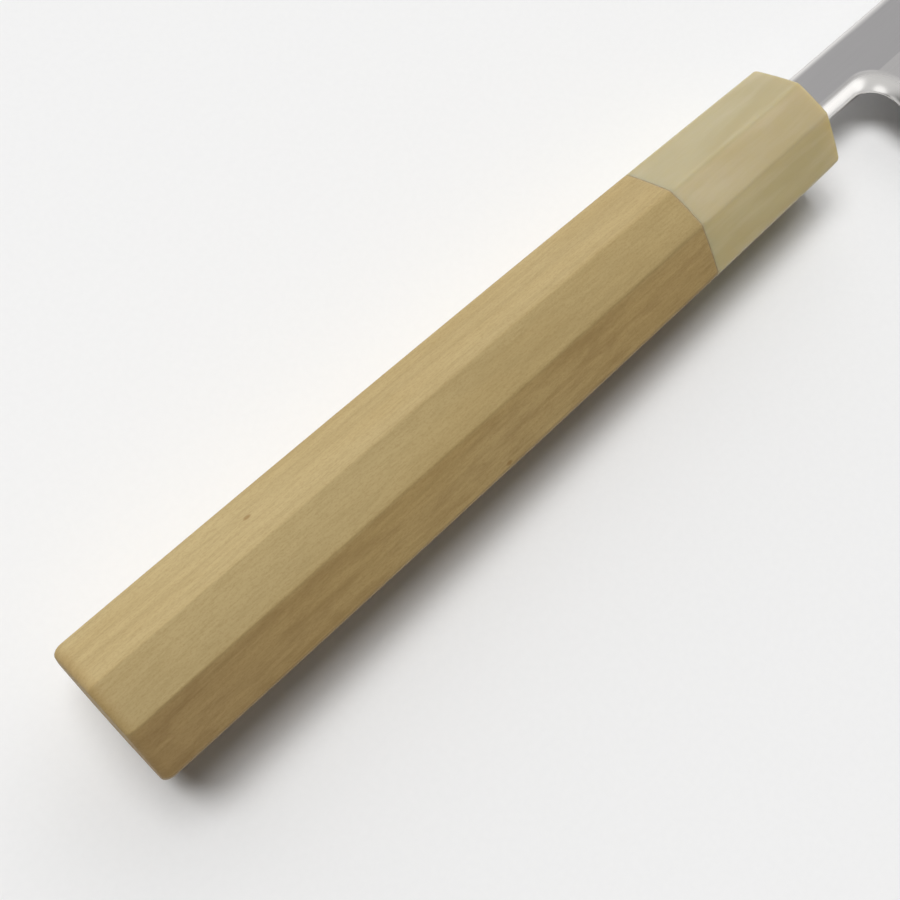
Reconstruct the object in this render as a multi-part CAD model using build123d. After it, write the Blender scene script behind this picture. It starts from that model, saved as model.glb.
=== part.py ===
from build123d import *
import math
import os

# Japanese-pattern chef knife (wa-gyuto), millimetres.
# Knife frame: X runs from the butt of the handle to the tip, with 0 at the front of the
# ferrule; Y runs from the edge to the spine, with 0 on the handle's axis; Z is across the
# blade, with 0 in its middle plane.  At the end every piece is turned into the way the knife
# lies on a table: +Z up, the table at Z = 0, the origin below the middle of the knife.

# Handle and ferrule, an eight-sided stick that narrows and bows slightly to the front
HANDLE_LENGTH = 143.0
FERRULE_LENGTH = 32.0
FRONT_HALF_HEIGHT = 10.05
FRONT_HALF_WIDTH = 9.4
FRONT_SIDE_FLAT = 6.8
FRONT_TOP_FLAT = 8.0
HEIGHT_GROWTH = 0.25
HEIGHT_BOW = -0.15
WIDTH_GROWTH = 0.12
BUTT_ROUND = 1.8
FERRULE_FRONT_ROUND = 0.8
HANDLE_STATIONS = 3
GLUE_THICKNESS = 0.2

# Dowel that joins ferrule and handle, and the slot in it for the tang
DOWEL_DIAMETER = 12.0
DOWEL_FRONT = -5.0
DOWEL_BACK = -116.0
SLOT_BACK = -106.0
SLOT_WIDTH = 4.6
FERRULE_SLOT_HEIGHT = 10.3
BEAD_PROUD = 0.4
BEAD_MARGIN = 0.5

# Tang
TANG_LENGTH = 102.0
TANG_END_HEIGHT = 5.0
TANG_END_THICKNESS = 2.6

# Blade
SPINE_Y = 5.4
NECK_BOTTOM_Y = -4.1
NECK_THICKNESS = 4.0
NECK_START_X = 0.6
TIP_THICKNESS = 1.0
BLADE_TIP_X = 262.0
TIP_HEIGHT = 1.0
SPINE_BEND_X = 147.0
SPINE_DROP = 13.0
CHOIL_CENTRE_X = 14.0
CHOIL_RADIUS = 5.7
CHOIL_LEAN = 6.0
HEEL_Y = -42.5
BELLY_POWER = 3.2
GRIND_FRACTION = 0.18
EDGE_THICKNESS = 0.16
CHOIL_ROUND = 1.6
SPINE_ROUND = 0.4
GRIND_START_X = 17.0
GRIND_OVERRUN = 4.0
GRIND_DEPTH = 15.0
BLADE_STATIONS = 9

# How the knife lies: on the ferrule's lower front corner, the belly of the edge and the tip
REST_EDGE_X = 223.0

# Half the size of the blocks that cut the pieces apart, larger than the knife across
FAR = 60.0


def handle_half_sizes(u):
    """Half height, half width and the two half flats at the fraction u from front to butt."""
    height_scale = 1 + HEIGHT_GROWTH * u + HEIGHT_BOW * u * u
    width_scale = 1 + WIDTH_GROWTH * u
    half_height = FRONT_HALF_HEIGHT * height_scale
    side_flat = FRONT_SIDE_FLAT / 2 * height_scale
    half_width = FRONT_HALF_WIDTH * width_scale
    top_flat = FRONT_TOP_FLAT / 2 * width_scale
    return half_height, side_flat, half_width, top_flat


def handle_section(u):
    """The octagon across the handle at the fraction u, as a face square to X."""
    a, c, b, w = handle_half_sizes(u)
    corners = [(a, w), (c, b), (-c, b), (-a, w), (-a, -w), (-c, -b), (c, -b), (a, -w)]
    x = -HANDLE_LENGTH * u
    outline = Polyline(*[(x, y, z) for y, z in corners], close=True)
    return make_face(outline)


def edges_at_x(shape, x):
    """The edges of the shape that lie in the plane at x."""
    return shape.edges().filter_by_position(Axis.X, x - 0.01, x + 0.01)


def grip_body():
    """Ferrule and handle as one eight-sided stick with sharp edges."""
    sections = [handle_section(i / (HANDLE_STATIONS - 1)) for i in range(HANDLE_STATIONS)]
    return loft(sections)


def slab(x_low, x_high):
    """A block over a stretch of X that is larger than the knife across."""
    block = Box(x_high - x_low, 2 * FAR, 2 * FAR)
    return Pos((x_low + x_high) / 2, 0, 0) * block


def round_bar(x_low, x_high, diameter):
    """A round bar along X."""
    bar = Cylinder(diameter / 2, x_high - x_low)
    return Pos((x_low + x_high) / 2, 0, 0) * Rot(0, 90, 0) * bar


def make_tang():
    """The stick tang, which tapers to the back."""
    neck_height = SPINE_Y - NECK_BOTTOM_Y
    neck_middle = (SPINE_Y + NECK_BOTTOM_Y) / 2
    front = Plane(origin=(NECK_START_X, neck_middle, 0), x_dir=(0, 1, 0), z_dir=(1, 0, 0))
    back = Plane(origin=(-TANG_LENGTH, 0, 0), x_dir=(0, 1, 0), z_dir=(1, 0, 0))
    wide = front * Rectangle(neck_height, NECK_THICKNESS)
    narrow = back * Rectangle(TANG_END_HEIGHT, TANG_END_THICKNESS)
    return loft([wide, narrow])


def half_thickness(x):
    """Half the blade's thickness above the grind, which falls evenly from neck to tip."""
    t = (x - NECK_START_X) / (BLADE_TIP_X - NECK_START_X)
    return (NECK_THICKNESS + (TIP_THICKNESS - NECK_THICKNESS) * t) / 2


SPINE_RADIUS = ((BLADE_TIP_X - SPINE_BEND_X) ** 2 + SPINE_DROP**2) / (2 * SPINE_DROP)
TIP_Y = SPINE_Y - SPINE_DROP
CHOIL_CENTRE_Y = NECK_BOTTOM_Y - CHOIL_RADIUS
LEAN = math.radians(CHOIL_LEAN)
CHOIL_END_X = CHOIL_CENTRE_X + CHOIL_RADIUS * math.cos(LEAN)
CHOIL_END_Y = CHOIL_CENTRE_Y + CHOIL_RADIUS * math.sin(LEAN)
HEEL_X = CHOIL_END_X + (CHOIL_END_Y - HEEL_Y) * math.tan(LEAN)


def spine_y(x):
    """Height of the spine: straight, then a long arc down to the tip."""
    past = min(max(x - SPINE_BEND_X, 0), BLADE_TIP_X - SPINE_BEND_X)
    return SPINE_Y - SPINE_RADIUS + math.sqrt(SPINE_RADIUS**2 - past**2)


def edge_y(x):
    """Height of the cutting edge: nearly straight at the heel, with a belly to the tip."""
    t = min(max((x - HEEL_X) / (BLADE_TIP_X - HEEL_X), 0), 1)
    return HEEL_Y + (TIP_Y - TIP_HEIGHT - HEEL_Y) * t**BELLY_POWER


def grind_y(x):
    """Height of the line where the flat below the spine meets the ground face."""
    return spine_y(x) - GRIND_FRACTION * (spine_y(x) - edge_y(x))


def blade_outline():
    """The blade's side view, from the ferrule to the tip."""
    tip_top = (BLADE_TIP_X, TIP_Y)
    tip_bottom = (BLADE_TIP_X, TIP_Y - TIP_HEIGHT)
    halfway = (SPINE_BEND_X + BLADE_TIP_X) / 2
    steps = BLADE_STATIONS - 1
    edge_xs = [HEEL_X + (BLADE_TIP_X - HEEL_X) * i / steps for i in range(BLADE_STATIONS)]
    arc_middle = math.radians((90 + CHOIL_LEAN) / 2)
    choil_middle = (
        CHOIL_CENTRE_X + CHOIL_RADIUS * math.cos(arc_middle),
        CHOIL_CENTRE_Y + CHOIL_RADIUS * math.sin(arc_middle),
    )
    lines = [
        Line((NECK_START_X, SPINE_Y), (SPINE_BEND_X, SPINE_Y)),
        ThreePointArc((SPINE_BEND_X, SPINE_Y), (halfway, spine_y(halfway)), tip_top),
        Line(tip_top, tip_bottom),
        Spline(*[(x, edge_y(x)) for x in edge_xs]),
        Line((HEEL_X, HEEL_Y), (CHOIL_END_X, CHOIL_END_Y)),
        ThreePointArc((CHOIL_END_X, CHOIL_END_Y), choil_middle, (CHOIL_CENTRE_X, NECK_BOTTOM_Y)),
        Line((CHOIL_CENTRE_X, NECK_BOTTOM_Y), (NECK_START_X, NECK_BOTTOM_Y)),
        Line((NECK_START_X, NECK_BOTTOM_Y), (NECK_START_X, SPINE_Y)),
    ]
    return make_face(Wire(lines))


def bevel_cutter():
    """What the grinder takes off the upper side, from the grind line to the edge."""
    sections = []
    steps = BLADE_STATIONS - 1
    x_end = BLADE_TIP_X + GRIND_OVERRUN
    for i in range(BLADE_STATIONS):
        x = GRIND_START_X + (x_end - GRIND_START_X) * i / steps
        at = min(x, BLADE_TIP_X)
        top = half_thickness(at)
        slope = (top - EDGE_THICKNESS / 2) / (grind_y(at) - edge_y(at))
        above = grind_y(at) + GRIND_OVERRUN
        below = edge_y(at) - GRIND_OVERRUN
        z_above = top + slope * (above - grind_y(at))
        z_below = top + slope * (below - grind_y(at))
        z_high = GRIND_DEPTH
        corners = [(above, z_above), (above, z_high), (below, z_high), (below, z_below)]
        sections.append(make_face(Polyline(*[(x, y, z) for y, z in corners], close=True)))
    return loft(sections)


def choil_edges(plate):
    """The edges of the plate along the neck's underside and the choil, on both faces."""
    found = []
    for edge in plate.edges():
        middle = edge.center()
        on_face = abs(middle.Z) > TIP_THICKNESS
        below_neck = middle.X < HEEL_X and middle.Y < (SPINE_Y + NECK_BOTTOM_Y) / 2
        if on_face and below_neck:
            found.append(edge)
    return found


def spine_edges(plate):
    """The edges of the plate along the spine, on both faces."""
    found = []
    for edge in plate.edges():
        middle = edge.center()
        along_spine = middle.Y > spine_y(middle.X) - CHOIL_ROUND and edge.length > SPINE_DROP
        if abs(middle.Z) > TIP_THICKNESS / 2 and along_spine:
            found.append(edge)
    return found


def make_blade():
    """The blade, its neck, the choil and the tang, one piece of steel."""
    wedge_side = Polyline(
        (NECK_START_X, NECK_THICKNESS / 2),
        (BLADE_TIP_X, TIP_THICKNESS / 2),
        (BLADE_TIP_X, -TIP_THICKNESS / 2),
        (NECK_START_X, -NECK_THICKNESS / 2),
        close=True,
    )
    wedge = extrude(Plane.XZ * make_face(wedge_side), FAR, both=True)
    plate = Pos(0, 0, -FAR / 2) * extrude(blade_outline(), FAR)
    plate = plate & wedge
    plate = fillet(choil_edges(plate), CHOIL_ROUND)
    plate = fillet(spine_edges(plate), SPINE_ROUND)
    cutter = bevel_cutter()
    plate = plate - cutter - mirror(cutter, Plane.XY)
    return plate + make_tang()


def make_ferrule(grip):
    """The horn ferrule: a blind bore from the back and a slot through the front wall."""
    body = grip & slab(-FERRULE_LENGTH, FAR)
    body = fillet(edges_at_x(body, 0), FERRULE_FRONT_ROUND)
    bore = round_bar(-FERRULE_LENGTH - 1, DOWEL_FRONT, DOWEL_DIAMETER)
    return body - bore - tang_slot(DOWEL_FRONT - 1, 1)


def tang_slot(x_low, x_high):
    """The slot that the tang passes through in the ferrule's front wall."""
    slot = Box(x_high - x_low, FERRULE_SLOT_HEIGHT, SLOT_WIDTH)
    return Pos((x_low + x_high) / 2, (SPINE_Y + NECK_BOTTOM_Y) / 2, 0) * slot


def make_handle(grip):
    """The wooden handle: a blind bore from the front for the dowel."""
    body = grip & slab(-HANDLE_LENGTH - FAR, -FERRULE_LENGTH - GLUE_THICKNESS)
    body = fillet(edges_at_x(body, -HANDLE_LENGTH), BUTT_ROUND)
    return body - round_bar(DOWEL_BACK, -FERRULE_LENGTH, DOWEL_DIAMETER)


def make_glue_line(grip):
    """The thin film of glue between ferrule and handle."""
    body = grip & slab(-FERRULE_LENGTH - GLUE_THICKNESS, -FERRULE_LENGTH)
    return body - round_bar(-FERRULE_LENGTH - 1, -FERRULE_LENGTH + 1, DOWEL_DIAMETER)


def dowel_slot():
    """The slot along the dowel, open at its front and at its top and bottom."""
    slot = Box(DOWEL_FRONT - SLOT_BACK, DOWEL_DIAMETER, SLOT_WIDTH)
    return Pos((DOWEL_FRONT + SLOT_BACK) / 2, 0, 0) * slot


def make_dowel():
    """The dowel inside, forked by the slot for the tang."""
    return round_bar(DOWEL_BACK, DOWEL_FRONT, DOWEL_DIAMETER) - dowel_slot()


def make_tang_epoxy(blade):
    """The epoxy that fills the slots round the tang, with a small bead at the front."""
    filling = round_bar(SLOT_BACK, DOWEL_FRONT, DOWEL_DIAMETER) & dowel_slot()
    mouth = tang_slot(DOWEL_FRONT, 0)
    front = Plane(origin=(0, (SPINE_Y + NECK_BOTTOM_Y) / 2, 0), x_dir=(0, 1, 0), z_dir=(1, 0, 0))
    wide = FERRULE_SLOT_HEIGHT + 2 * BEAD_MARGIN
    bead = front * Rectangle(wide, SLOT_WIDTH + 2 * BEAD_MARGIN)
    bead = extrude(bead, BEAD_PROUD, taper=45)
    return filling + mouth + bead - blade


def resting_turn():
    """The turn that lays the knife down on its three points of contact."""
    corner = Vector(-FERRULE_FRONT_ROUND, -FRONT_SIDE_FLAT / 2, -FRONT_HALF_WIDTH)
    belly = Vector(REST_EDGE_X, edge_y(REST_EDGE_X), -EDGE_THICKNESS / 2)
    tip = Vector(BLADE_TIP_X, grind_y(BLADE_TIP_X), -TIP_THICKNESS / 2)
    up = (belly - corner).cross(tip - corner).normalized()
    forward = Vector(1, 0, 0)
    forward = (forward - up * forward.dot(up)).normalized()
    return Plane(origin=(0, 0, 0), x_dir=forward, z_dir=up).location.inverse()


def lay_down(pieces):
    """Turn every piece into the resting pose, with the origin below the middle."""
    turn = resting_turn()
    turned = {name: turn * piece for name, piece in pieces.items()}
    boxes = [piece.bounding_box() for piece in turned.values()]
    middle_x = (min(box.min.X for box in boxes) + max(box.max.X for box in boxes)) / 2
    middle_y = (min(box.min.Y for box in boxes) + max(box.max.Y for box in boxes)) / 2
    shift = Pos(-middle_x, -middle_y, -min(box.min.Z for box in boxes))
    return {name: shift * piece for name, piece in turned.items()}


def main():
    grip = grip_body()
    blade = make_blade()
    pieces = {
        "blade": blade,
        "ferrule": make_ferrule(grip),
        "handle": make_handle(grip),
        "glue_line": make_glue_line(grip),
        "core_dowel": make_dowel(),
        "tang_epoxy": make_tang_epoxy(blade),
    }
    os.makedirs("parts", exist_ok=True)
    for name, piece in lay_down(pieces).items():
        export_step(piece, f"parts/{name}.step")


main()
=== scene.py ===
import math

import bmesh
import bpy
import numpy as np
from mathutils import Matrix, Vector


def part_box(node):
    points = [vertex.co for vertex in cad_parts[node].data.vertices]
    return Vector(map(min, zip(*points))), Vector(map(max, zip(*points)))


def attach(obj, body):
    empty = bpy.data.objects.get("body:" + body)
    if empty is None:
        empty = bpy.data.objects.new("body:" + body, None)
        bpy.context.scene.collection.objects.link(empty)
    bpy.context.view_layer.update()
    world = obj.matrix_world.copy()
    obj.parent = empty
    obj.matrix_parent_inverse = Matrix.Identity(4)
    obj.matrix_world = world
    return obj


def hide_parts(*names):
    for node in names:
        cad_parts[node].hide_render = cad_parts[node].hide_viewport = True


# How the chef knife looks.  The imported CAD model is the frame.  The pieces that show are
# built again here as finer meshes, from the same dimensions, and replace their CAD nodes.
# Knife frame, millimetres: X from the butt to the tip, with 0 at the front of the ferrule;
# Y from the edge to the spine, with 0 on the handle's axis; Z across the blade.
# Row frame, metres: how the knife lies on the table, as the frame has it.

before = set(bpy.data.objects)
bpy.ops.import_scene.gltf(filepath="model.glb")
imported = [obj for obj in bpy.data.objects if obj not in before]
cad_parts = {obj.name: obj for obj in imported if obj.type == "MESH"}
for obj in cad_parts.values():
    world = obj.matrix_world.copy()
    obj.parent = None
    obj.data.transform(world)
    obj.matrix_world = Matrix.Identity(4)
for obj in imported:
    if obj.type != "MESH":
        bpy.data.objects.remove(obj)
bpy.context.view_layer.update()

MM = 0.001

# Handle and ferrule
HANDLE_LENGTH = 143.0
FERRULE_LENGTH = 32.0
FRONT_HALF_HEIGHT = 10.05
FRONT_HALF_WIDTH = 9.4
FRONT_SIDE_FLAT = 6.8
FRONT_TOP_FLAT = 8.0
HEIGHT_GROWTH = 0.25
HEIGHT_BOW = -0.15
WIDTH_GROWTH = 0.12
BUTT_ROUND_LENGTH = 1.7
BUTT_ROUND_DEPTH = 1.0
BUTT_LEAN = 0.05
FERRULE_FRONT_ROUND = 0.8
GLUE_THICKNESS = 0.2
BUTT_EASE = 0.5
FRONT_EASE = 1.1
FACET_CROWN = 0.09
JOINT_EASE = 0.05
LEAN_REACH = 10.0

# Dowel, slots and epoxy
DOWEL_DIAMETER = 12.0
DOWEL_FRONT = -5.0
DOWEL_BACK = -116.0
SLOT_WIDTH = 4.6
SLOT_CORNER = 0.8
FERRULE_SLOT_HEIGHT = 10.3
MOUTH_BACK = -2.4
MOUTH_FRONT = 0.3
MOUTH_EASE = 0.12
MOUTH_SHARE = 0.75

# Tang and blade
TANG_LENGTH = 102.0
TANG_END_HEIGHT = 5.0
TANG_END_THICKNESS = 2.6
SPINE_Y = 5.4
NECK_BOTTOM_Y = -4.1
NECK_THICKNESS = 4.0
NECK_START_X = 0.6
TIP_THICKNESS = 1.0
BLADE_TIP_X = 262.0
TIP_HEIGHT = 1.0
SPINE_BEND_X = 147.0
SPINE_DROP = 13.0
CHOIL_CENTRE_X = 14.0
CHOIL_RADIUS = 5.7
CHOIL_LEAN = 6.0
HEEL_Y = -42.5
BELLY_POWER = 3.2
GRIND_FRACTION = 0.18
GRIND_START_X = 17.0
GRIND_EASE_BACK = 4.0
GRIND_EASE_ON = 2.0
EDGE_THICKNESS = 0.16
REST_EDGE_X = 223.0
UNDERSIDE_ROUND = 2.9
UNDERSIDE_POWER = 1.3
HEEL_ROUND = 0.2
SOFT_UNDERSIDE_X = -3.0
SPINE_ROUND = 0.45
BEVEL_HEIGHT = 0.8
NOSE_LENGTH = 1.6


# ---------------------------------------------------------------- the knife's shape

SPINE_RADIUS = ((BLADE_TIP_X - SPINE_BEND_X) ** 2 + SPINE_DROP**2) / (2 * SPINE_DROP)
TIP_Y = SPINE_Y - SPINE_DROP
CHOIL_CENTRE_Y = NECK_BOTTOM_Y - CHOIL_RADIUS
LEAN = math.radians(CHOIL_LEAN)
CHOIL_END_X = CHOIL_CENTRE_X + CHOIL_RADIUS * math.cos(LEAN)
CHOIL_END_Y = CHOIL_CENTRE_Y + CHOIL_RADIUS * math.sin(LEAN)
HEEL_X = CHOIL_END_X + (CHOIL_END_Y - HEEL_Y) * math.tan(LEAN)
NECK_HEIGHT = SPINE_Y - NECK_BOTTOM_Y
NECK_MIDDLE_Y = (SPINE_Y + NECK_BOTTOM_Y) / 2


def smooth(low, high, value):
    """0 below low, 1 above high, and a smooth step between them."""
    t = min(max((value - low) / (high - low), 0), 1)
    return t * t * (3 - 2 * t)


def handle_half_sizes(u):
    """Half height, half width and the two half flats at the fraction u from front to butt."""
    height_scale = 1 + HEIGHT_GROWTH * u + HEIGHT_BOW * u * u
    width_scale = 1 + WIDTH_GROWTH * u
    half_height = FRONT_HALF_HEIGHT * height_scale
    side_flat = FRONT_SIDE_FLAT / 2 * height_scale
    half_width = FRONT_HALF_WIDTH * width_scale
    top_flat = FRONT_TOP_FLAT / 2 * width_scale
    return half_height, side_flat, half_width, top_flat


def spine_y(x):
    past = min(max(x - SPINE_BEND_X, 0), BLADE_TIP_X - SPINE_BEND_X)
    return SPINE_Y - SPINE_RADIUS + math.sqrt(SPINE_RADIUS**2 - past**2)


def edge_y(x):
    t = min(max((x - HEEL_X) / (BLADE_TIP_X - HEEL_X), 0), 1)
    return HEEL_Y + (TIP_Y - TIP_HEIGHT - HEEL_Y) * t**BELLY_POWER


def grind_y(x):
    return spine_y(x) - GRIND_FRACTION * (spine_y(x) - edge_y(x))


def resting_matrix():
    """From the knife frame in millimetres to the row frame in metres."""
    corner = Vector((-FERRULE_FRONT_ROUND, -FRONT_SIDE_FLAT / 2, -FRONT_HALF_WIDTH))
    belly = Vector((REST_EDGE_X, edge_y(REST_EDGE_X), -EDGE_THICKNESS / 2))
    tip = Vector((BLADE_TIP_X, grind_y(BLADE_TIP_X), -TIP_THICKNESS / 2))
    up = (belly - corner).cross(tip - corner).normalized()
    forward = Vector((1, 0, 0))
    forward = (forward - up * forward.dot(up)).normalized()
    turn = Matrix((forward, up.cross(forward), up)) * MM
    low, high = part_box("glue_line")
    glue_middle = Vector((-FERRULE_LENGTH - GLUE_THICKNESS / 2, 0, 0))
    shift = (low + high) / 2 - turn @ glue_middle
    return Matrix.Translation(shift) @ turn.to_4x4()


TO_ROW = resting_matrix()


# ---------------------------------------------------------------- mesh tools

MERGE_DISTANCE = 0.0005 * MM
SHARP_ANGLE = 60
FACE_WEIGHT = 100
PARALLEL = 1e-12
CORNER_SLACK = 1e-9


def piece_from_loops(name, loops, cyclic=False, finish=None):
    """A closed mesh over a row of loops: capped at both ends, or closed onto its first loop.
    finish gives named numbers for each loop's points, which the material reads."""
    count = len(loops[0])
    rows = len(loops)
    faces = []
    for row in range(rows if cyclic else rows - 1):
        here = row * count
        there = (row + 1) % rows * count
        for i in range(count):
            j = (i + 1) % count
            faces.append((here + i, here + j, there + j, there + i))
    if not cyclic:
        faces.append(tuple(range(count)))
        faces.append(tuple(range((rows - 1) * count, rows * count)))
    points = [TO_ROW @ Vector(p) for loop in loops for p in loop]
    mesh = bpy.data.meshes.new(name)
    mesh.from_pydata(points, [], faces)
    for label, numbers in (finish or {}).items():
        layer = mesh.attributes.new(label, "FLOAT", "POINT")
        layer.data.foreach_set("value", np.concatenate(numbers).astype(np.float32))
    work = bmesh.new()
    work.from_mesh(mesh)
    bmesh.ops.remove_doubles(work, verts=work.verts, dist=MERGE_DISTANCE)
    bmesh.ops.recalc_face_normals(work, faces=work.faces)
    work.to_mesh(mesh)
    work.free()
    mesh.shade_smooth()
    mesh.set_sharp_from_angle(angle=math.radians(SHARP_ANGLE))
    piece = bpy.data.objects.new(name, mesh)
    bpy.context.scene.collection.objects.link(piece)
    weighted = piece.modifiers.new("weighted_normals", "WEIGHTED_NORMAL")
    weighted.keep_sharp = True
    weighted.weight = FACE_WEIGHT
    return piece


def at_x(x, outline):
    """Points (y, z) as points of a loop across the knife at x."""
    return [(x, y, z) for y, z in outline]


def angles_of(outline, centre_y=0.0):
    """The direction of each point of an outline from a centre on the blade's middle plane."""
    return [math.atan2(z, y - centre_y) for y, z in outline]


def circle(radius, angles):
    return [(radius * math.cos(a), radius * math.sin(a)) for a in angles]


def cast(outline, angles, centre_y=0.0):
    """Where rays from a centre on the blade's middle plane, at these angles, last meet a
    closed outline of (y, z) points."""
    start = np.array(outline) - (centre_y, 0)
    side = np.roll(start, -1, axis=0) - start
    found = []
    for angle in angles:
        ray = np.array((math.cos(angle), math.sin(angle)))
        across = ray[0] * side[:, 1] - ray[1] * side[:, 0]
        across = np.where(abs(across) < PARALLEL, PARALLEL, across)
        reach = (start[:, 0] * side[:, 1] - start[:, 1] * side[:, 0]) / across
        share = (start[:, 0] * ray[1] - start[:, 1] * ray[0]) / across
        crossed = (share > -CORNER_SLACK) & (share < 1 + CORNER_SLACK) & (reach > 0)
        furthest = reach[crossed].max()
        found.append((centre_y + furthest * ray[0], furthest * ray[1]))
    return found


def rounded_box(half_y, half_z, radius, centre_y=0.0, arc_steps=5, side_points=4):
    """The outline of a box across the knife with rounded corners."""
    outline = []
    for corner, (y_sign, z_sign) in enumerate(((1, 1), (-1, 1), (-1, -1), (1, -1))):
        y, z = y_sign * (half_y - radius), z_sign * (half_z - radius)
        for step in range(arc_steps + 1):
            angle = math.pi / 2 * (corner + step / arc_steps)
            outline.append((y + radius * math.cos(angle), z + radius * math.sin(angle)))
    filled = []
    for i, (y, z) in enumerate(outline):
        next_y, next_z = outline[(i + 1) % len(outline)]
        filled.append((centre_y + y, z))
        if i % (arc_steps + 1) == arc_steps:
            for step in range(1, side_points + 1):
                t = step / (side_points + 1)
                filled.append((centre_y + y + (next_y - y) * t, z + (next_z - z) * t))
    return filled


def scaled(outline, factor):
    """An outline made larger or smaller about the handle's axis."""
    return [(y * factor, z * factor) for y, z in outline]


# ---------------------------------------------------------------- handle, ferrule and glue

CORNER_ARC_STEPS = 4
FLAT_SHARES = (0.04, 0.2, 0.5, 0.8, 0.96)
INSET_EASE = 0.3
BUTT_STEPS = 9
JOINT_STEPS = 3
BORE_END_SHARES = (0.1, 0.6, 1.0)
BUTT_FACE_SHARES = (0.95, 0.75, 0.4, 0.08)
FRONT_FACE_SHARES = (0.06, 0.35, 0.7, 0.94)


def edge_ease(x):
    """The rounding of the long edges: slight at the butt, and soft on the ferrule."""
    return BUTT_EASE + (FRONT_EASE - BUTT_EASE) * smooth(-HANDLE_LENGTH, 0, x)


def octagon(x, inset=0.0):
    """The handle's section at x, moved in by inset: eased corners and slightly crowned flats."""
    high, side, wide, top = handle_half_sizes(-x / HANDLE_LENGTH)
    ease = edge_ease(x) - INSET_EASE * inset
    corners = [(high, top), (side, wide), (-side, wide), (-high, top)]
    corners = np.array(corners + [(-y, -z) for y, z in corners])
    along = np.roll(corners, -1, axis=0) - corners
    outward = np.column_stack((along[:, 1], -along[:, 0]))
    outward /= np.linalg.norm(outward, axis=1)[:, None]
    reach = (outward * corners).sum(axis=1) - inset - FACET_CROWN - ease
    arcs = []
    for i in range(len(corners)):
        pair = np.array((outward[i - 1], outward[i]))
        centre = np.linalg.solve(pair, (reach[i - 1], reach[i]))
        start, turn = math.atan2(pair[0][1], pair[0][0]), math.acos(pair[0] @ pair[1])
        steps = [start + turn * k / CORNER_ARC_STEPS for k in range(CORNER_ARC_STEPS + 1)]
        arcs.append([centre + ease * np.array((math.cos(t), math.sin(t))) for t in steps])
    outline = []
    for i, arc in enumerate(arcs):
        following = arcs[(i + 1) % len(arcs)][0]
        outline += [tuple(p) for p in arc]
        for t in FLAT_SHARES:
            crown = outward[i] * FACET_CROWN * 4 * t * (1 - t)
            outline.append(tuple(arc[-1] + (following - arc[-1]) * t + crown))
    return outline


def rounded_end(x_end, length, depth, direction, steps=7):
    """Loops that round the end of a piece off.  direction is 1 towards the tip and -1 to the
    butt, and the last loop is the end's own."""
    loops = []
    for step in range(steps + 1):
        turn = math.pi / 2 * step / steps
        x = x_end - direction * length * (1 - math.sin(turn))
        inset = depth * (1 - math.cos(turn))
        loops.append(at_x(x, octagon(x, inset)))
    return loops


def stations(first, last, count):
    """Evenly spaced places along the knife."""
    return [first + (last - first) * i / (count - 1) for i in range(count)]


def leaning(loop):
    """A loop near the butt, whose end face leans a little, its lower edge set in."""
    top = handle_half_sizes(1)[2]
    share = 1 - smooth(-HANDLE_LENGTH, -HANDLE_LENGTH + LEAN_REACH, loop[0][0])
    return [(x + BUTT_LEAN * (top - z) * share, y, z) for x, y, z in loop]


def make_handle():
    front = -FERRULE_LENGTH - GLUE_THICKNESS
    angles = angles_of(octagon(front))
    bore = circle(DOWEL_DIAMETER / 2, angles)
    loops = [at_x(DOWEL_BACK, scaled(bore, share)) for share in BORE_END_SHARES]
    loops += [at_x(x, bore) for x in stations(DOWEL_BACK + 2, front, 8)]
    loops += rounded_end(front, JOINT_EASE, JOINT_EASE, 1, JOINT_STEPS)[::-1]
    body_end = -HANDLE_LENGTH + BUTT_ROUND_LENGTH
    loops += [at_x(x, octagon(x)) for x in stations(front - 1, body_end + 0.5, 40)]
    loops += rounded_end(-HANDLE_LENGTH, BUTT_ROUND_LENGTH, BUTT_ROUND_DEPTH, -1, BUTT_STEPS)
    butt = octagon(-HANDLE_LENGTH, BUTT_ROUND_DEPTH)
    loops += [at_x(-HANDLE_LENGTH, scaled(butt, share)) for share in BUTT_FACE_SHARES]
    return piece_from_loops("handle_wood", [leaning(loop) for loop in loops])


def make_glue_line():
    front, back = -FERRULE_LENGTH, -FERRULE_LENGTH - GLUE_THICKNESS
    outer = octagon(front, JOINT_EASE)
    bore = circle(DOWEL_DIAMETER / 2, angles_of(outer))
    loops = [at_x(front, bore), at_x(front, outer), at_x(back, outer), at_x(back, bore)]
    return piece_from_loops("joint_glue", loops, cyclic=True)


def ferrule_slot():
    return rounded_box(FERRULE_SLOT_HEIGHT / 2, SLOT_WIDTH / 2, SLOT_CORNER, NECK_MIDDLE_Y)


def make_ferrule():
    back = -FERRULE_LENGTH
    angles = angles_of(octagon(back))
    bore = circle(DOWEL_DIAMETER / 2, angles)
    slot = cast(ferrule_slot(), angles, NECK_MIDDLE_Y)
    loops = rounded_end(back, JOINT_EASE, JOINT_EASE, -1, JOINT_STEPS)[::-1]
    loops += [at_x(x, octagon(x)) for x in stations(back + 1, -1.2, 12)]
    loops += rounded_end(0, FERRULE_FRONT_ROUND, FERRULE_FRONT_ROUND, 1)
    face = np.array(octagon(0, FERRULE_FRONT_ROUND))
    for share in FRONT_FACE_SHARES:
        loops.append(at_x(0, face + (np.array(slot) - face) * share))
    loops.append(at_x(0, slot))
    loops += [at_x(x, slot) for x in stations(-0.2, DOWEL_FRONT, 4)]
    loops += [at_x(x, bore) for x in stations(DOWEL_FRONT, back, 6)]
    return piece_from_loops("horn_ferrule", loops, cyclic=True)


# ---------------------------------------------------------------- blade and tang

# Points up one face of a loop
SEARCH_STEPS = 30
ROUND_STEPS = 8
ROUND_REACH = 0.9
FACE_SHARES = (0.12, 0.35, 0.6, 0.85)
GRIND_MARGIN = 0.12
FLAT_FACE_SHARES = (0.25, 0.6, 0.92)
SPINE_ARC_STEPS = 4

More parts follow.
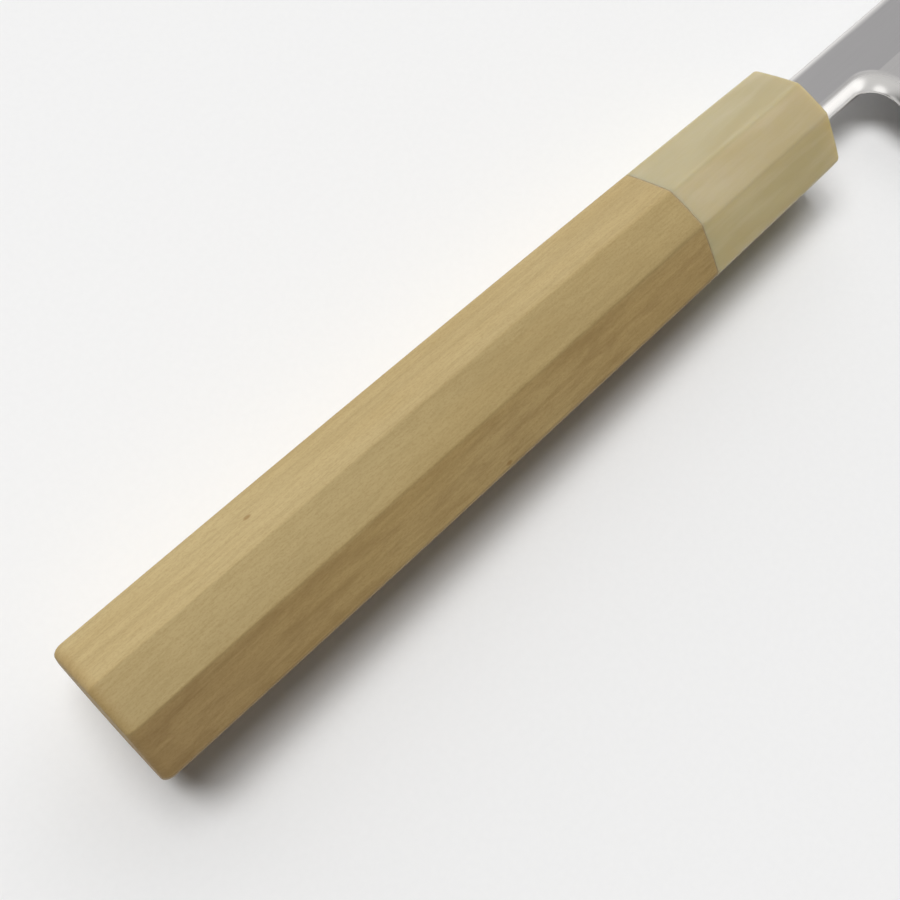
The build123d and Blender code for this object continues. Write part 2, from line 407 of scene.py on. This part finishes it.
# Loops along the blade, and how far along the spine they fan out
CHOIL_STEPS = 36
HEEL_STEPS = 30
EDGE_STEPS = 110
EDGE_CROWDING = 1.25
NOSE_STEPS = 8
FAN_CHOIL = 16.0
FAN_HEEL = 32.0

# The most that the roundings take, as shares of a loop's height and of half its thickness
ROUND_LIMIT = 0.3
SPINE_LIMIT = 0.2
CORNER_LIMIT = 0.8

# How sharp and how polished the steel is; the fades are in shares of the rounding or bevel
EDGE_SHARPNESS = 0.1
POLISH_FADE = (0.7, 1.15)
BEVEL_SHINE = 0.6
BEVEL_FADE = (0.9, 1.05)
SPINE_SHINE = 0.45
GROUND_FADE = 3.0


def half_thickness(x, y):
    """Half the thickness of the steel at a point of its side view, edges not yet rounded."""
    t = max((x - NECK_START_X) / (BLADE_TIP_X - NECK_START_X), 0)
    top = (NECK_THICKNESS + (TIP_THICKNESS - NECK_THICKNESS) * t) / 2
    if x < NECK_START_X:
        t = (NECK_START_X - x) / (NECK_START_X + TANG_LENGTH)
        return top + (TANG_END_THICKNESS / 2 - top) * t
    depth = max(grind_y(x) - y, 0)
    slope = (top - EDGE_THICKNESS / 2) / (grind_y(x) - edge_y(x))
    begun = smooth(GRIND_START_X - GRIND_EASE_BACK, GRIND_START_X + GRIND_EASE_ON, x)
    return top - depth * slope * begun


def from_underside(x, y):
    """Distance into the steel from the neck's underside, the choil and the heel's back."""
    dx, dy = x - CHOIL_CENTRE_X, y - CHOIL_CENTRE_Y
    if dx <= 0:
        return dy - CHOIL_RADIUS
    if math.atan2(dy, dx) >= LEAN:
        return math.hypot(dx, dy) - CHOIL_RADIUS
    return (x - CHOIL_END_X) * math.cos(LEAN) + (y - CHOIL_END_Y) * math.sin(LEAN)


def underside_round(y):
    """The rounding of the underside: full at neck and choil, fading down the heel's back."""
    return HEEL_ROUND + (UNDERSIDE_ROUND - HEEL_ROUND) * smooth(HEEL_Y, CHOIL_END_Y, y)


def where(function, target, low, high):
    """The share between low and high where a rising function reaches its target."""
    for _ in range(SEARCH_STEPS):
        middle = (low + high) / 2
        if function(middle) < target:
            low = middle
        else:
            high = middle
    return (low + high) / 2


def underside_profile(share):
    """How far the softened underside has risen, 0 to 1, at this share of its reach."""
    inside = 1 - min(max(share, 0), 1)
    return (1 - inside**UNDERSIDE_POWER) ** (1 / UNDERSIDE_POWER)


def face_shares(point, length, rounding, spine_round, on_edge):
    """Where a loop's points are on one face, as shares of the way up it: from the bottom end
    to the start of the spine's rounding, closer together at the rounding and the grind line.
    Also gives the grind line's share."""

    def depth(t):
        x, y = point(t)
        return y - edge_y(x) if on_edge else from_underside(x, y)

    def above_grind(t):
        x, y = point(t)
        return y - grind_y(x)

    shares = [0.0]
    for step in range(1, ROUND_STEPS + 1):
        share = 1 - math.cos(math.pi / 2 * step / ROUND_STEPS)
        shares.append(where(depth, rounding * share, 0, ROUND_REACH))
    rounded = shares[-1]
    spine_start = 1 - spine_round / length
    margin = GRIND_MARGIN / length
    grind = where(above_grind, 0, 0, 1)
    grind = min(max(grind, rounded + 3 * margin), spine_start - 3 * margin)
    below, above = grind - margin, grind + margin
    shares += [rounded + (below - rounded) * share for share in FACE_SHARES]
    shares += [below, grind, above]
    shares += [above + (spine_start - above) * share for share in FLAT_FACE_SHARES]
    return shares, grind


def face_point(x, y, on_edge, nose, below_grind):
    """A point of the upper face: x, y, z, how polished it is, and how far it belongs to the
    ground face."""
    z = half_thickness(x, y) * nose
    shine = 0.0
    if x > SOFT_UNDERSIDE_X and (x < HEEL_X + 1 or not on_edge):
        share = from_underside(x, y) / underside_round(y)
        z *= underside_profile(share)
        shine = 1 - smooth(*POLISH_FADE, share)
    if on_edge:
        share = (y - edge_y(x)) / BEVEL_HEIGHT
        z *= EDGE_SHARPNESS + (1 - EDGE_SHARPNESS) * min(share, 1)
        shine = max(shine, BEVEL_SHINE * (1 - smooth(*BEVEL_FADE, share)))
    ground = smooth(GRIND_START_X - GROUND_FADE, GRIND_START_X, x) if below_grind else 0.0
    return x, y, z, shine, ground


def blade_loop(bottom, top, on_edge, nose=1.0):
    """One closed loop round the steel, from the underside over the upper face and back.
    bottom and top are its ends in the side view, and nose is the share of the thickness that
    the rounding of the tip leaves.  The points are as face_point gives them."""
    (x0, y0), (x1, y1) = bottom, top
    height = y1 - y0
    length = math.hypot(x1 - x0, height)

    def point(t):
        return x0 + (x1 - x0) * t, y0 + height * t

    rounding = min(BEVEL_HEIGHT if on_edge else underside_round(y0), ROUND_LIMIT * height)
    spine_round = min(SPINE_ROUND, SPINE_LIMIT * height)
    shares, grind = face_shares(point, length, rounding, spine_round, on_edge)
    points = [face_point(*point(t), on_edge, nose, t < grind) for t in shares]
    half = half_thickness(x1, y1) * nose
    corner = min(spine_round, CORNER_LIMIT * half)
    for step in range(SPINE_ARC_STEPS + 1):
        turn = math.pi / 2 * step / SPINE_ARC_STEPS
        x, y = point(1 - spine_round * (1 - math.sin(turn)) / length)
        points.append((x, y, half - corner * (1 - math.cos(turn)), SPINE_SHINE, 0.0))
    mirrored = [(x, y, -z, shine, ground) for x, y, z, shine, ground in points[::-1]]
    return points + mirrored


def blade_stations():
    """From the tang's end to the tip, each loop's ends in the side view, whether the lower
    one is on the edge, and the share of the thickness that the nose leaves it.  Past the
    neck the loops fan out, so that they follow the choil and the heel's back."""
    rows = []
    for x in stations(-TANG_LENGTH, SOFT_UNDERSIDE_X - 0.2, 14):
        t = (NECK_START_X - x) / (NECK_START_X + TANG_LENGTH)
        low = NECK_BOTTOM_Y + (-TANG_END_HEIGHT / 2 - NECK_BOTTOM_Y) * t
        high = SPINE_Y + (TANG_END_HEIGHT / 2 - SPINE_Y) * t
        rows.append(((x, low), (x, high), False, 1.0))
    for x in stations(SOFT_UNDERSIDE_X + 0.2, CHOIL_CENTRE_X - 0.4, 30):
        rows.append(((x, NECK_BOTTOM_Y), (x, SPINE_Y), False, 1.0))
    for i in range(CHOIL_STEPS + 1):
        angle = math.pi / 2 + (LEAN - math.pi / 2) * i / CHOIL_STEPS
        x = CHOIL_CENTRE_X + CHOIL_RADIUS * math.cos(angle)
        y = CHOIL_CENTRE_Y + CHOIL_RADIUS * math.sin(angle)
        top_x = CHOIL_CENTRE_X + FAN_CHOIL * i / CHOIL_STEPS
        rows.append(((x, y), (top_x, SPINE_Y), False, 1.0))
    fan_start = CHOIL_CENTRE_X + FAN_CHOIL
    for i in range(1, HEEL_STEPS):
        t = smooth(-1, 1, 2 * i / HEEL_STEPS - 1)
        x = CHOIL_END_X + (HEEL_X - CHOIL_END_X) * t
        y = CHOIL_END_Y + (HEEL_Y - CHOIL_END_Y) * t
        rows.append(((x, y), (fan_start + FAN_HEEL * t, SPINE_Y), False, 1.0))
    fan_start += FAN_HEEL
    nose_x = BLADE_TIP_X - NOSE_LENGTH
    nose_y = TIP_Y - TIP_HEIGHT / 2
    for i in range(EDGE_STEPS):
        t = 1 - (1 - i / EDGE_STEPS) ** EDGE_CROWDING
        x = HEEL_X + (nose_x - HEEL_X) * t
        top_x = fan_start + (nose_x - fan_start) * t
        rows.append(((x, edge_y(x)), (top_x, spine_y(top_x)), True, 1.0))
    for i in range(NOSE_STEPS):
        turn = math.pi / 2 * i / NOSE_STEPS
        x = nose_x + NOSE_LENGTH * math.sin(turn)
        nose = math.cos(turn)
        low = nose_y + (edge_y(x) - nose_y) * nose
        high = nose_y + (spine_y(x) - nose_y) * nose
        rows.append(((x, low), (x, high), True, nose))
    return rows


def make_blade():
    rows = np.array([blade_loop(*station) for station in blade_stations()])
    finish = {"polish": rows[:, :, 3], "ground": rows[:, :, 4]}
    return piece_from_loops("blade_steel", rows[:, :, :3], finish=finish)


def make_epoxy_mouth():
    """The epoxy that shows round the neck.  It fills the slot's mouth and rises a little past
    the ferrule's face, up to the softened corners of the steel."""
    neck = [point[1:3] for point in blade_loop((0, NECK_BOTTOM_Y), (0, SPINE_Y), False)]
    fan = rounded_box(NECK_HEIGHT / 2, SLOT_WIDTH / 2, SLOT_CORNER, NECK_MIDDLE_Y, 8, 10)
    angles = angles_of(fan, NECK_MIDDLE_Y)
    around = cast(ferrule_slot(), angles, NECK_MIDDLE_Y)
    within = np.array(cast(neck, angles, NECK_MIDDLE_Y))
    shoulder = within + (np.array(around) - within) * MOUTH_SHARE
    loops = [at_x(MOUTH_BACK, around), at_x(-MOUTH_EASE, around), at_x(MOUTH_FRONT, shoulder)]
    loops += [at_x(MOUTH_FRONT + MOUTH_EASE / 2, within), at_x(MOUTH_BACK, within)]
    return piece_from_loops("epoxy_mouth", loops, cyclic=True)


# ---------------------------------------------------------------- materials

# Linear colours, matched to the photograph under this scene's light
HORN_PALE = (0.510, 0.430, 0.258)
HORN_DEEP = (0.470, 0.385, 0.210)
HORN_MILKY = (0.57, 0.49, 0.325)
HORN_AMBER = (0.40, 0.30, 0.10)
HORN_RIM = (0.36, 0.235, 0.08)
STEEL_FLAT = (0.38, 0.372, 0.375)
STEEL_GROUND = (0.48, 0.469, 0.465)
STEEL_LINE = (0.2, 0.2, 0.2)
STEEL_POLISHED = (0.90, 0.88, 0.855)
PAPER_DARK = (0.845, 0.845, 0.845)
PAPER_LIGHT = (0.855, 0.855, 0.855)

# What colours are multiplied by: painted light and shade on the sides that face the edge and the
# spine, painted shade on the edge's side towards the butt, and the wood's darker and lighter
# streaks
WOOD_EDGE_SIDE_PAINTED_LIGHT = (1.15, 1.09, 1.02)
WOOD_SPINE_SIDE_PAINTED_LIGHT = (1.07, 1.09, 1.17)
WOOD_BUTT_PAINTED_SHADE = (0.82, 0.78, 0.76)
WOOD_DARKER = 0.78
WOOD_LIGHTER = 1.12
HORN_EDGE_SIDE_PAINTED_LIGHT = (1.14, 1.13, 0.98)
HORN_SPINE_SIDE_PAINTED_SHADE = (0.83, 0.85, 0.83)

# Noise drawn out along the knife: its scale along, up and across, per millimetre; its detail,
# roughness and distortion; and a shift that keeps one from echoing another
WOOD_TONE = ((0.02, 0.12, 0.12), 2, 0.5, 0.3, (3, 7, 1))
WOOD_LAYERS = ((0.012, 0.09, 1.1), 4, 0.65, 0.25, (1, 4, 2))
WOOD_FIBRES = ((0.30, 2.8, 2.8), 3, 0.6)
WOOD_PEPPER = ((2.2, 4.4, 4.4), 2, 0.6)
WOOD_MOTTLE = ((0.11, 0.5, 0.5), 4, 0.65, 0.3, (8, 3, 5))
WOOD_SPECKS = (0.09, 0.16, 0.16)
HORN_CLOUD = ((0.045, 0.16, 0.16), 2, 0.45, 0.6, (5, 2, 9))
HORN_STREAK = ((0.05, 0.45, 0.45), 3, 0.5, 0.3)
HORN_FINE = ((0.35, 3.0, 3.0), 2, 0.5)
STEEL_LINES = ((0.04, 8.0, 8.0), 3, 0.6)
STEEL_CLOUD = ((0.04, 0.1, 0.1), 2, 0.5)
STEEL_WAVES = ((0.35, 0.35, 0.35), 1, 0.5)

# How much of a pattern shows: between two of its values, and the shares at those two
LAYER_DARK = (0.34, 0.52, 0.30, 0.0)
LAYER_LIGHT = (0.5, 0.68, 0.0, 0.28)
FIBRE_DARK = (0.34, 0.55, 0.24, 0.0)
FIBRE_LIGHT = (0.5, 0.7, 0.0, 0.16)
PEPPER_DARK = (0.32, 0.55, 0.20, 0.0)
MOTTLE_DARK = (0.3, 0.6, 0.34, 0.0)
SPECK_CHOSEN = (0.66, 0.68)
SPECK_NEAR = (0.03, 0.075, 1.0, 0.0)
SPECK_SHARE = 0.7
HORN_MILKY_FADE = (0.42, 0.75, 0.0, 0.5)
HORN_FINE_FADE = (0.3, 0.6, 0.06, 0.0)
END_PATCHES = (0.25, 0.75, 0.5, 1.0)

# The same between two places on the knife, in millimetres: Y for the sides, X for the rest
WOOD_EDGE_FADE = (-4.3, -3.4, 1.0, 0.0)
WOOD_SPINE_FADE = (3.4, 4.3, 0.0, 1.0)
WOOD_BUTT_SHADE_FADE = (-HANDLE_LENGTH, -HANDLE_LENGTH + 45, 1.0, 0.0)
WOOD_END_FADE = (-HANDLE_LENGTH + 0.1, -HANDLE_LENGTH + 2.4, 0.6, 0.0)
HORN_EDGE_FADE = (-4.2, -3.3, 1.0, 0.0)
HORN_SPINE_FADE = (2.4, 3.6, 0.0, 1.0)
HORN_RIM_FADE = (-0.62, -0.2, 0.0, 0.85)
HORN_FACE_FADE = (-0.1, -0.01, 1.0, 0.15)

# Most of a noise's values lie between these
NOISE_LOW = 0.3
NOISE_HIGH = 0.7


def add(tree, kind, settings=None, **inputs):
    """A new node.  An input is a number or colour to set, or another node's output to link."""
    made = tree.nodes.new("ShaderNode" + kind)
    for name, value in (settings or {}).items():
        setattr(made, name, value)
    for name, value in inputs.items():
        key = int(name[2:]) if name.startswith("at") else name.replace("_", " ")
        if isinstance(value, bpy.types.NodeSocket):
            tree.links.new(value, made.inputs[key])
        else:
            made.inputs[key].default_value = value
    return made


def new_material(name):
    material = bpy.data.materials.new(name)
    material.use_nodes = True
    tree = material.node_tree
    return material, tree, tree.nodes["Principled BSDF"]


def knife_millimetres(tree):
    """Object coordinates turned back into the knife frame, in millimetres."""
    place, turn, size = TO_ROW.inverted().decompose()
    spot = add(tree, "TexCoord").outputs["Object"]
    return add(
        tree, "Mapping", Vector=spot, Location=place, Rotation=turn.to_euler(), Scale=size
    ).outputs[0]


def stretched(tree, spot, scale, shift):
    return add(tree, "Mapping", Vector=spot, Scale=scale, Location=shift).outputs[0]


def noise(tree, spot, scale, detail, roughness, distortion=0.0):
    return add(
        tree,
        "TexNoise",
        Vector=spot,
        Scale=scale,
        Detail=detail,
        Roughness=roughness,
        Distortion=distortion,
    ).outputs[0]


def grain(tree, spot, per_mm, detail, roughness, distortion=0.0, shift=(0, 0, 0)):
    """Noise drawn out along the knife, as in the patterns above."""
    return noise(tree, stretched(tree, spot, per_mm, shift), 1, detail, roughness, distortion)


def ramp(tree, value, low, high, out_low=0.0, out_high=1.0, kind="SMOOTHSTEP"):
    """A value mapped from low..high to out_low..out_high."""
    made = add(tree, "MapRange", {"interpolation_type": kind}, Value=value)
    for index, number in enumerate((low, high, out_low, out_high), start=1):
        made.inputs[index].default_value = number
    return made.outputs[0]


def spread(tree, pattern, out_low=0.0, out_high=1.0):
    """A noise's usual values mapped to out_low..out_high."""
    return ramp(tree, pattern, NOISE_LOW, NOISE_HIGH, out_low, out_high)


def math_node(tree, operation, first, second):
    return add(tree, "Math", {"operation": operation}, at0=first, at1=second).outputs[0]


def times(tree, first, second):
    return math_node(tree, "MULTIPLY", first, second)


def mix_colour(tree, share, first, second, blend="MIX"):
    made = tree.nodes.new("ShaderNodeMix")
    made.data_type = "RGBA"
    made.blend_type = blend
    for index, value in ((0, share), (6, first), (7, second)):
        if isinstance(value, bpy.types.NodeSocket):
            tree.links.new(value, made.inputs[index])
        else:
            made.inputs[index].default_value = (*value, 1)
    return made.outputs[2]


def tinted(tree, share, colour, tint):
    """A colour multiplied by a tint, as far as share says."""
    return mix_colour(tree, share, colour, tint, "MULTIPLY")


def finish_shader(tree, shader, colour, roughness, height, strength, depth):
    """Links a shader's colour and roughness, and its bumps of this depth in millimetres."""
    tree.links.new(colour, shader.inputs["Base Color"])
    tree.links.new(roughness, shader.inputs["Roughness"])
    bump = add(tree, "Bump", Height=height, Strength=strength, Distance=depth * MM)
    tree.links.new(bump.outputs[0], shader.inputs["Normal"])


def wood_specks(tree, spot):
    """Where the few small brown flecks are: the middles of some cells of a Voronoi pattern."""
    cells = stretched(tree, spot, WOOD_SPECKS, (0, 0, 0))
    distance, draw = add(tree, "TexVoronoi", Vector=cells, Scale=1.0).outputs[:2]
    chosen = ramp(tree, add(tree, "SeparateColor", Color=draw).outputs[0], *SPECK_CHOSEN)
    return times(tree, times(tree, ramp(tree, distance, *SPECK_NEAR), chosen), SPECK_SHARE)


def wood(name, pale, deep, fleck, end_tint):
    """Plain fine-grained wood: growth layers stacked across the blade, so the broad faces are
    even and the slanted ones show soft lengthwise streaks, with end grain at the butt."""
    material, tree, shader = new_material(name)
    spot = knife_millimetres(tree)
    tone = grain(tree, spot, *WOOD_TONE)
    layers = grain(tree, spot, *WOOD_LAYERS)
    fibres = grain(tree, spot, *WOOD_FIBRES)
    pepper = grain(tree, spot, *WOOD_PEPPER)
    mottle = grain(tree, spot, *WOOD_MOTTLE)
    darker = tuple(WOOD_DARKER * c for c in deep)
    lighter = tuple(WOOD_LIGHTER * c for c in pale)
    colour = mix_colour(tree, spread(tree, tone), pale, deep)
    for pattern, fade, shade in (
        (layers, LAYER_DARK, darker),
        (layers, LAYER_LIGHT, lighter),
        (fibres, FIBRE_DARK, darker),
        (fibres, FIBRE_LIGHT, lighter),
        (pepper, PEPPER_DARK, fleck),
    ):
        colour = mix_colour(tree, ramp(tree, pattern, *fade), colour, shade)
    colour = mix_colour(tree, wood_specks(tree, spot), colour, fleck)

    along, up = add(tree, "SeparateXYZ", Vector=spot).outputs[:2]
    edge_side = ramp(tree, up, *WOOD_EDGE_FADE)
    # Painted light: the edge's side, which lies in shade, made lighter and warmer
    colour = tinted(tree, edge_side, colour, WOOD_EDGE_SIDE_PAINTED_LIGHT)
    mottled = times(tree, edge_side, ramp(tree, mottle, *MOTTLE_DARK))
    colour = mix_colour(tree, mottled, colour, fleck)
    # Painted shade: the edge's side made darker towards the butt
    butt_shade = times(tree, edge_side, ramp(tree, along, *WOOD_BUTT_SHADE_FADE))
    colour = tinted(tree, butt_shade, colour, WOOD_BUTT_PAINTED_SHADE)
    # Painted light: the lit spine's side made lighter and bluer
    colour = tinted(tree, ramp(tree, up, *WOOD_SPINE_FADE), colour, WOOD_SPINE_SIDE_PAINTED_LIGHT)
    end = times(tree, ramp(tree, along, *WOOD_END_FADE), ramp(tree, tone, *END_PATCHES))
    colour = mix_colour(tree, end, colour, end_tint)

    shader.inputs["Specular IOR Level"].default_value = 0.25
    height = math_node(tree, "ADD", fibres, times(tree, pepper, 0.6))
    roughness = spread(tree, fibres, 0.66, 0.54)
    finish_shader(tree, shader, colour, roughness, height, strength=0.3, depth=0.04)
    return material


def horn(name):
    """Blond horn: soft cloudy streaks along the handle, polished, and light within it."""
    material, tree, shader = new_material(name)
    spot = knife_millimetres(tree)
    cloud = grain(tree, spot, *HORN_CLOUD)
    streak = grain(tree, spot, *HORN_STREAK)
    fine = grain(tree, spot, *HORN_FINE)
    colour = mix_colour(tree, spread(tree, cloud), HORN_PALE, HORN_DEEP)
    colour = mix_colour(tree, ramp(tree, streak, *HORN_MILKY_FADE), colour, HORN_MILKY)
    colour = mix_colour(tree, ramp(tree, fine, *HORN_FINE_FADE), colour, HORN_AMBER)
    along, up = add(tree, "SeparateXYZ", Vector=spot).outputs[:2]
    # Painted light and shade: the shaded edge's side made lighter and the lit spine's side
    # darker, evening the shading
    colour = tinted(tree, ramp(tree, up, *HORN_EDGE_FADE), colour, HORN_EDGE_SIDE_PAINTED_LIGHT)
    colour = tinted(tree, ramp(tree, up, *HORN_SPINE_FADE), colour, HORN_SPINE_SIDE_PAINTED_SHADE)
    off_face = ramp(tree, along, *HORN_FACE_FADE)
    rim = times(tree, ramp(tree, along, *HORN_RIM_FADE), off_face)
    colour = mix_colour(tree, rim, colour, HORN_RIM)

    shader.inputs["Subsurface Weight"].default_value = 0.7
    shader.inputs["Subsurface Radius"].default_value = (1.0, 0.8, 0.4)
    shader.inputs["Subsurface Scale"].default_value = 5.0 * MM
    shader.inputs["Specular IOR Level"].default_value = 0.4
    roughness = spread(tree, streak, 0.40, 0.32)
    finish_shader(tree, shader, colour, roughness, fine, strength=0.12, depth=0.02)
    return material


def steel(name):
    """Blade steel: satin faces with fine lengthwise lines, brighter where "ground" says, and
    polished, slightly wavy and without lines where "polish" says."""
    material, tree, shader = new_material(name)
    spot = knife_millimetres(tree)
    lines = grain(tree, spot, *STEEL_LINES)
    cloud = grain(tree, spot, *STEEL_CLOUD)
    waves = grain(tree, spot, *STEEL_WAVES)
    polish = add(tree, "Attribute", {"attribute_name": "polish"}).outputs["Fac"]
    ground = add(tree, "Attribute", {"attribute_name": "ground"}).outputs["Fac"]
    base = mix_colour(tree, ground, STEEL_FLAT, STEEL_GROUND)
    satin = mix_colour(tree, spread(tree, lines, 0.1, 0.0), base, STEEL_LINE)
    colour = mix_colour(tree, polish, satin, STEEL_POLISHED)
    shader.inputs["Metallic"].default_value = 1.0

    rough_lines = spread(tree, lines, 0.45, 0.49)
    rough = math_node(tree, "ADD", rough_lines, spread(tree, cloud, -0.02, 0.02))
    rough = times(tree, rough, ramp(tree, polish, 0.0, 1.0, 1.0, 0.4, "LINEAR"))
    line_height = times(tree, lines, ramp(tree, polish, 0.0, 0.5, 1.0, 0.02, "LINEAR"))
    wave_height = times(tree, waves, ramp(tree, polish, 0.0, 1.0, 0.0, 25.0, "LINEAR"))
    height = math_node(tree, "ADD", line_height, wave_height)
    finish_shader(tree, shader, colour, rough, height, strength=0.15, depth=0.003)
    return material


def blotchy(name, pattern, colours, roughnesses, strength, depth):
    """Set glue: two colours and two roughnesses in soft blotches.  pattern is the blotches'
    scale per millimetre, detail and roughness; strength and depth are of their bumps."""
    material, tree, shader = new_material(name)
    blotch = noise(tree, knife_millimetres(tree), *pattern)
    colour = mix_colour(tree, spread(tree, blotch), *colours)
    roughness = spread(tree, blotch, *roughnesses)
    finish_shader(tree, shader, colour, roughness, blotch, strength, depth)
    return material


def paper(name):
    """The pale table: matt and almost white."""
    material, tree, shader = new_material(name)
    spot = add(tree, "TexCoord").outputs["Object"]
    fibres = noise(tree, spot, scale=900, detail=4, roughness=0.6)
    colour = mix_colour(tree, spread(tree, fibres), PAPER_DARK, PAPER_LIGHT)
    tree.links.new(colour, shader.inputs["Base Color"])
    shader.inputs["Roughness"].default_value = 0.8
    shader.inputs["Specular IOR Level"].default_value = 0.2
    return material


# ---------------------------------------------------------------- light, floor and camera

FLOOR_RADIUS = 2.6
FLOOR_POINTS = 180

# Name, azimuth, elevation and apparent radius in degrees, and the light on a facing surface
LAMPS = (("high_softbox", 98.0, 78.0, 13.0, 1.47), ("low_softbox", 128.0, 64.0, 10.0, 1.00))
LAMP_DISTANCE = 6.0

# Where the wall's middle is, and its strength between two cosines of the angle to that
WALL_AZIMUTH = 46.0
WALL_ELEVATION = 18.0
WALL_FADE = (0.3, 1.0, 0.0, 1.28)

# The backdrop's strength between two heights of the direction that the camera looks in
BACKDROP_FADE = (-0.1, 0.5, 0.74, 0.86)

# Azimuth, elevation, outer and inner radius in degrees, and strength; and the share of that
# strength that lights anything but a reflection
CARD_SPILL = 0.12
CARDS = (
    (-75.0, 38.0, 62.0, 26.0, 0.62),
    (-48.0, 20.0, 20.0, 10.0, 0.55),
    (-106.0, 30.0, 20.0, 9.0, 0.45),
    (-160.0, 34.0, 24.0, 9.0, 0.55),
)

# Lens and sensor in millimetres, the rest in metres, and degrees about X, Y and Z
CAMERA_LENS = 56.0
CAMERA_SENSOR = 36.0
CAMERA_NEAR = 0.01
CAMERA_PLACE = (-0.20842, -0.01697, 0.19955)
CAMERA_TURN = (19.60, -8.05, -44.76)


def direction_of(azimuth, elevation):
    """The unit vector towards a place in the sky, in degrees."""
    turn, rise = math.radians(azimuth), math.radians(elevation)
    level = math.cos(rise)
    return Vector((math.cos(turn) * level, math.sin(turn) * level, math.sin(rise)))


def make_floor():
    turns = [2 * math.pi * i / FLOOR_POINTS for i in range(FLOOR_POINTS)]
    rim = [(FLOOR_RADIUS * math.cos(a), FLOOR_RADIUS * math.sin(a), 0) for a in turns]
    mesh = bpy.data.meshes.new("floor")
    mesh.from_pydata(rim, [], [tuple(range(FLOOR_POINTS))])
    floor = bpy.data.objects.new("floor", mesh)
    floor.data.materials.append(paper("table_paper"))
    bpy.context.scene.collection.objects.link(floor)


def make_lamps():
    """Round soft lamps, high on the spine's side of the knife."""
    for name, azimuth, elevation, radius, strength in LAMPS:
        lamp = bpy.data.lights.new(name, "AREA")
        lamp.shape = "DISK"
        lamp.size = 2 * LAMP_DISTANCE * math.tan(math.radians(radius))
        lamp.energy = strength * math.pi * LAMP_DISTANCE**2
        towards = direction_of(azimuth, elevation)
        softbox = bpy.data.objects.new(name, lamp)
        softbox.location = towards * LAMP_DISTANCE
        softbox.rotation_euler = towards.to_track_quat("Z", "Y").to_euler()
        bpy.context.scene.collection.objects.link(softbox)


def towards_light(tree, direction, light):
    """How nearly a direction of the world points at a light, as a cosine."""
    dot = add(tree, "VectorMath", {"operation": "DOT_PRODUCT"}, at0=direction, at1=light)
    return dot.outputs["Value"]


def make_world():
    """The studio: a soft bright wall past the tip on the spine's side, and white cards on the
    edge's side for the steel to mirror, which give other surfaces little light.  The camera
    sees neither: past the floor it sees a plain pale backdrop."""
    world = bpy.data.worlds.new("studio")
    world.use_nodes = True
    tree = world.node_tree
    direction = add(tree, "TexCoord").outputs["Generated"]
    wall = towards_light(tree, direction, direction_of(WALL_AZIMUTH, WALL_ELEVATION))
    strength = ramp(tree, wall, *WALL_FADE)
    path = add(tree, "LightPath").outputs
    mirrored = ramp(tree, path["Is Glossy Ray"], 0.0, 1.0, CARD_SPILL, 1.0, "LINEAR")
    for azimuth, elevation, outer, inner, brightness in CARDS:
        near = towards_light(tree, direction, direction_of(azimuth, elevation))
        edge, core = math.cos(math.radians(outer)), math.cos(math.radians(inner))
        card = ramp(tree, near, edge, core, 0.0, brightness)
        strength = math_node(tree, "ADD", strength, times(tree, card, mirrored))
    seen = path["Is Camera Ray"]
    height = add(tree, "SeparateXYZ", Vector=direction).outputs[2]
    shown = times(tree, ramp(tree, height, *BACKDROP_FADE), seen)
    lit = times(tree, strength, math_node(tree, "SUBTRACT", 1.0, seen))
    background = tree.nodes["Background"]
    background.inputs["Color"].default_value = (1, 1, 1, 1)
    tree.links.new(math_node(tree, "ADD", lit, shown), background.inputs["Strength"])
    bpy.context.scene.world = world


def make_camera():
    """The view of the photograph."""
    data = bpy.data.cameras.new("camera")
    data.lens = CAMERA_LENS
    data.sensor_width = CAMERA_SENSOR
    data.clip_start = CAMERA_NEAR
    camera = bpy.data.objects.new("camera", data)
    camera.location = CAMERA_PLACE
    camera.rotation_euler = [math.radians(angle) for angle in CAMERA_TURN]
    bpy.context.scene.collection.objects.link(camera)
    bpy.context.scene.camera = camera


# ---------------------------------------------------------------- the knife

magnolia = wood(
    "magnolia",
    pale=(0.430, 0.325, 0.148),
    deep=(0.390, 0.283, 0.118),
    fleck=(0.24, 0.14, 0.045),
    end_tint=(0.37, 0.235, 0.085),
)
beech = wood(
    "beech",
    pale=(0.50, 0.36, 0.20),
    deep=(0.43, 0.29, 0.15),
    fleck=(0.22, 0.12, 0.05),
    end_tint=(0.36, 0.22, 0.10),
)

glue = blotchy(
    "brown_glue",
    pattern=(0.9, 3, 0.6),
    colours=((0.33, 0.235, 0.115), (0.40, 0.295, 0.15)),
    roughnesses=(0.7, 0.5),
    strength=0.2,
    depth=0.02,
)
epoxy = blotchy(
    "amber_epoxy",
    pattern=(0.7, 2, 0.5),
    colours=((0.38, 0.30, 0.14), (0.46, 0.38, 0.19)),
    roughnesses=(0.28, 0.4),
    strength=0.15,
    depth=0.05,
)

for maker, node, slot, material in (
    (make_handle, "handle", "magnolia_wood", magnolia),
    (make_ferrule, "ferrule", "horn", horn("blond_horn")),
    (make_glue_line, "glue_line", "joint_glue", glue),
    (make_blade, "blade", "blade_steel", steel("satin_steel")),
):
    piece = maker()
    piece.data.materials.append(material)
    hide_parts(node)
    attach(piece, "root")

mouth = make_epoxy_mouth()
mouth.data.materials.append(epoxy)
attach(mouth, "root")

for node, material in (("core_dowel", beech), ("tang_epoxy", epoxy)):
    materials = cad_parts[node].data.materials
    materials.clear()
    materials.append(material)

make_floor()
make_lamps()
make_world()
make_camera()
bpy.context.scene.view_settings.view_transform = "Standard"
